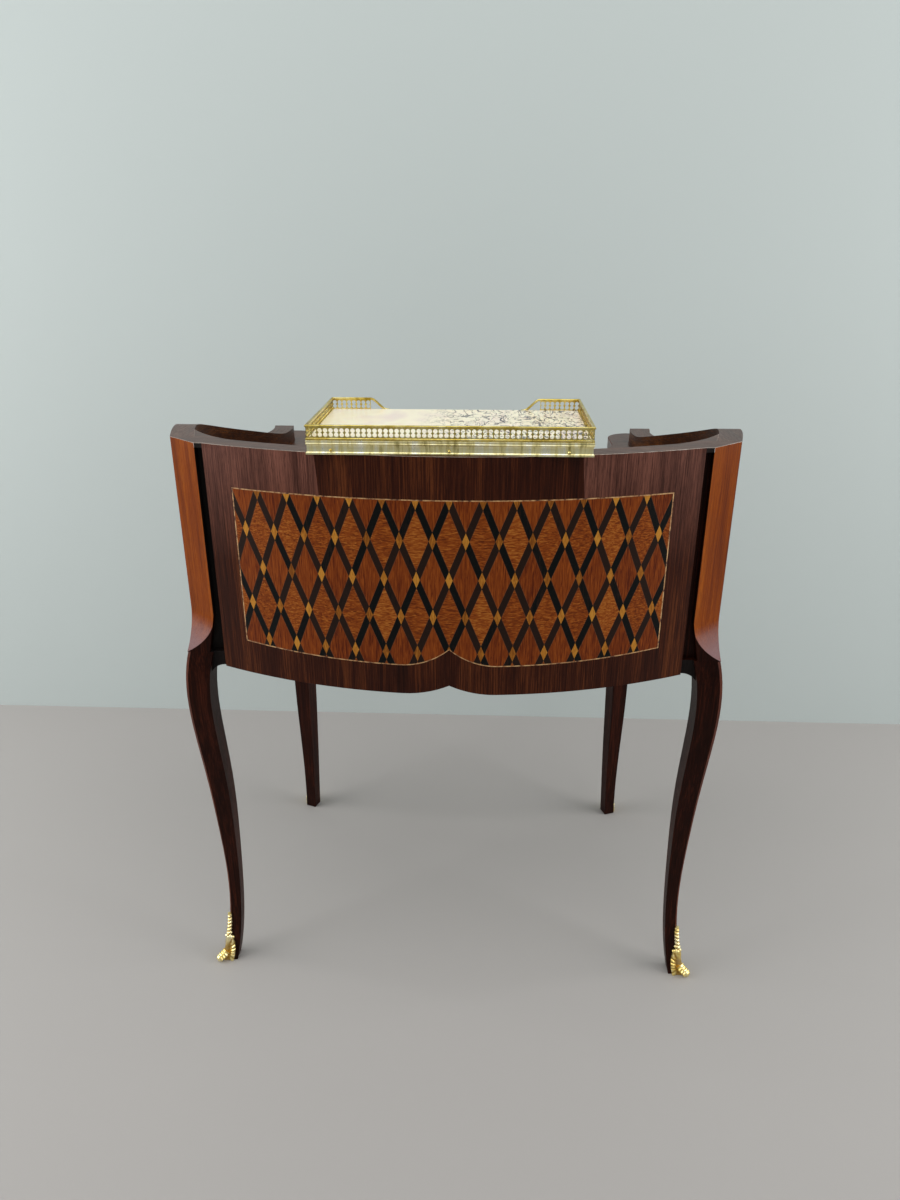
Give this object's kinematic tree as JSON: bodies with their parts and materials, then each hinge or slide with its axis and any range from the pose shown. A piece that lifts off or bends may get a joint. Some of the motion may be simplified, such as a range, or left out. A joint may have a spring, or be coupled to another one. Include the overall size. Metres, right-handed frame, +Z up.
{
  "type": "ladies writing desk",
  "caption": "Kidney-shaped veneered writing desk on cabriole legs, with a parquetry bowed back, swept wings, a marble tray with pierced brass gallery, and drawers.",
  "frame": {"origin": "middle of the desk's footprint, on the floor", "axes": "+Z up, +Y towards the bowed back, -Y towards the sitter, +X to the sitter's right"},
  "size_m": [0.7636, 0.507, 0.877],
  "materials": {
    "rosewood": "dark rosewood veneer, french polished",
    "parquetry": "trellis parquetry of warm veneers with dark strips, french polished",
    "boxwood": "boxwood line inlay, polished",
    "oak": "planed oak, unpolished",
    "gilt_bronze": "cast bronze, chased and gilt",
    "brass": "rolled brass, polished, worn",
    "marble": "cream marble with violet-grey veins, polished"
  },
  "bodies": {
    "carcass": {"back_panel": "rosewood", "back_capping": "rosewood", "table_top": "rosewood", "frieze_upper_rail": "rosewood", "frieze_lower_rail": "rosewood", "gradin_top": "rosewood", "gradin_divider": "rosewood", "corner_blocks": "rosewood", "rear_leg_left": "rosewood", "front_leg_left": "rosewood", "side_panel_left": "rosewood", "wing_capping_left": "rosewood", "frieze_stile_left": "rosewood", "lobe_return_left": "rosewood", "gradin_end_left": "rosewood", "rear_leg_right": "rosewood", "front_leg_right": "rosewood", "side_panel_right": "rosewood", "wing_capping_right": "rosewood", "frieze_stile_right": "rosewood", "lobe_return_right": "rosewood", "gradin_end_right": "rosewood", "dust_board": "oak", "drawer_guides": "oak", "drawer_kickers": "oak", "drawer_stops": "oak", "glue_blocks": "oak", "rear_sabot_left": "gilt_bronze", "rear_sabot_right": "gilt_bronze", "front_sabot_left": "gilt_bronze", "front_sabot_right": "gilt_bronze", "band_rear": "brass", "band_front": "brass", "band_left": "brass", "band_right": "brass", "band_pins": "brass", "gallery_rear": "brass", "gallery_left": "brass", "gallery_right": "brass", "gallery_return_left": "brass", "gallery_return_right": "brass", "parquetry_field": "parquetry", "parquetry_stringing": "boxwood", "marble_top": "marble"},
    "frieze_drawer": {"frieze_drawer_front": "rosewood", "frieze_drawer_side_left": "oak", "frieze_drawer_side_right": "oak", "frieze_drawer_back": "oak", "frieze_drawer_bottom": "oak", "frieze_drawer_knobs": "gilt_bronze"},
    "gradin_drawer_left": {"gradin_drawer_front_left": "rosewood", "gradin_drawer_sides_left": "oak", "gradin_drawer_back_left": "oak", "gradin_drawer_bottom_left": "oak", "gradin_drawer_knob_left": "gilt_bronze"},
    "gradin_drawer_right": {"gradin_drawer_front_right": "rosewood", "gradin_drawer_sides_right": "oak", "gradin_drawer_back_right": "oak", "gradin_drawer_bottom_right": "oak", "gradin_drawer_knob_right": "gilt_bronze"}
  },
  "joints": [
    {"name": "frieze_drawer_slide", "type": "slide", "parent": "carcass", "child": "frieze_drawer", "axis": [0, -1, 0], "range_m": [0, 0.2]},
    {"name": "gradin_drawer_left_slide", "type": "slide", "parent": "carcass", "child": "gradin_drawer_left", "axis": [0, -1, 0], "range_m": [0, 0.09]},
    {"name": "gradin_drawer_right_slide", "type": "slide", "parent": "carcass", "child": "gradin_drawer_right", "axis": [0, -1, 0], "range_m": [0, 0.09]}
  ]
}
